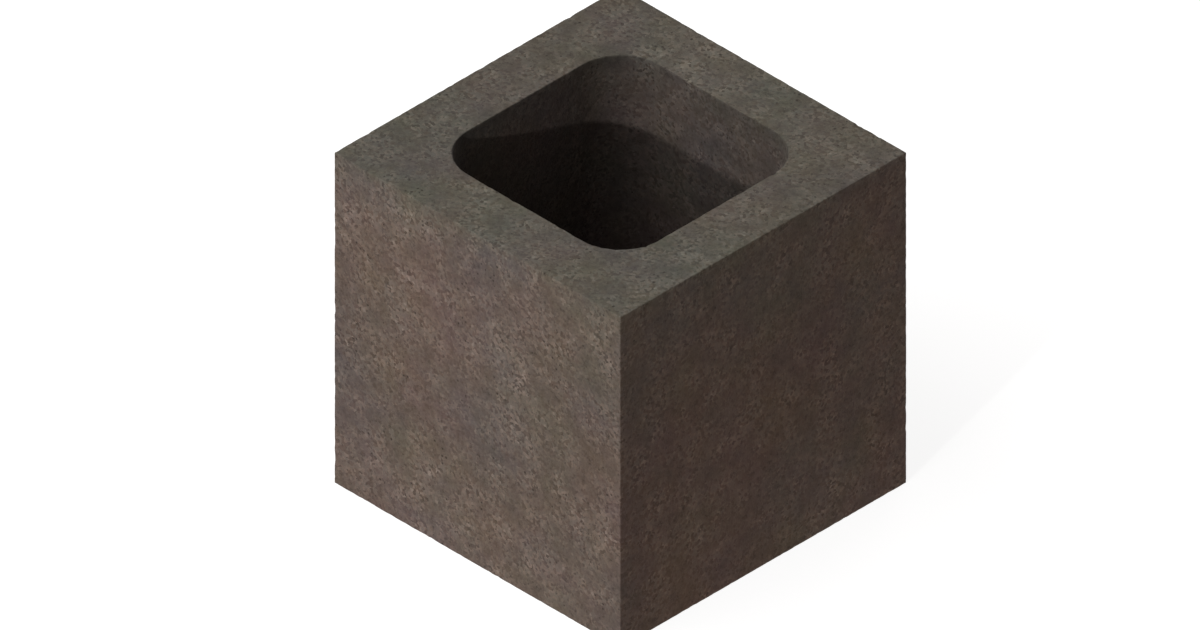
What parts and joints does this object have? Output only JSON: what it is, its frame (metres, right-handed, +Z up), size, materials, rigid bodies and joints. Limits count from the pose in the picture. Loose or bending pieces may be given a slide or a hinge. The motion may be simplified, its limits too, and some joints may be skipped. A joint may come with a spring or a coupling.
{
  "type": "concrete half block",
  "caption": "Cube-shaped hollow concrete masonry half block with one rounded square core right through it, for ending courses, openings and small columns.",
  "frame": {"origin": "centre of the lower bed face, on the core's axis, where the block stands on the floor", "axes": "+Z up along the core to the upper bed face; -Y is the front face and +X the right-hand face of the picture's view"},
  "size_m": [0.19, 0.19, 0.19],
  "materials": {
    "concrete": "matte"
  },
  "bodies": {
    "root": {"half_block": "concrete"}
  },
  "joints": []
}
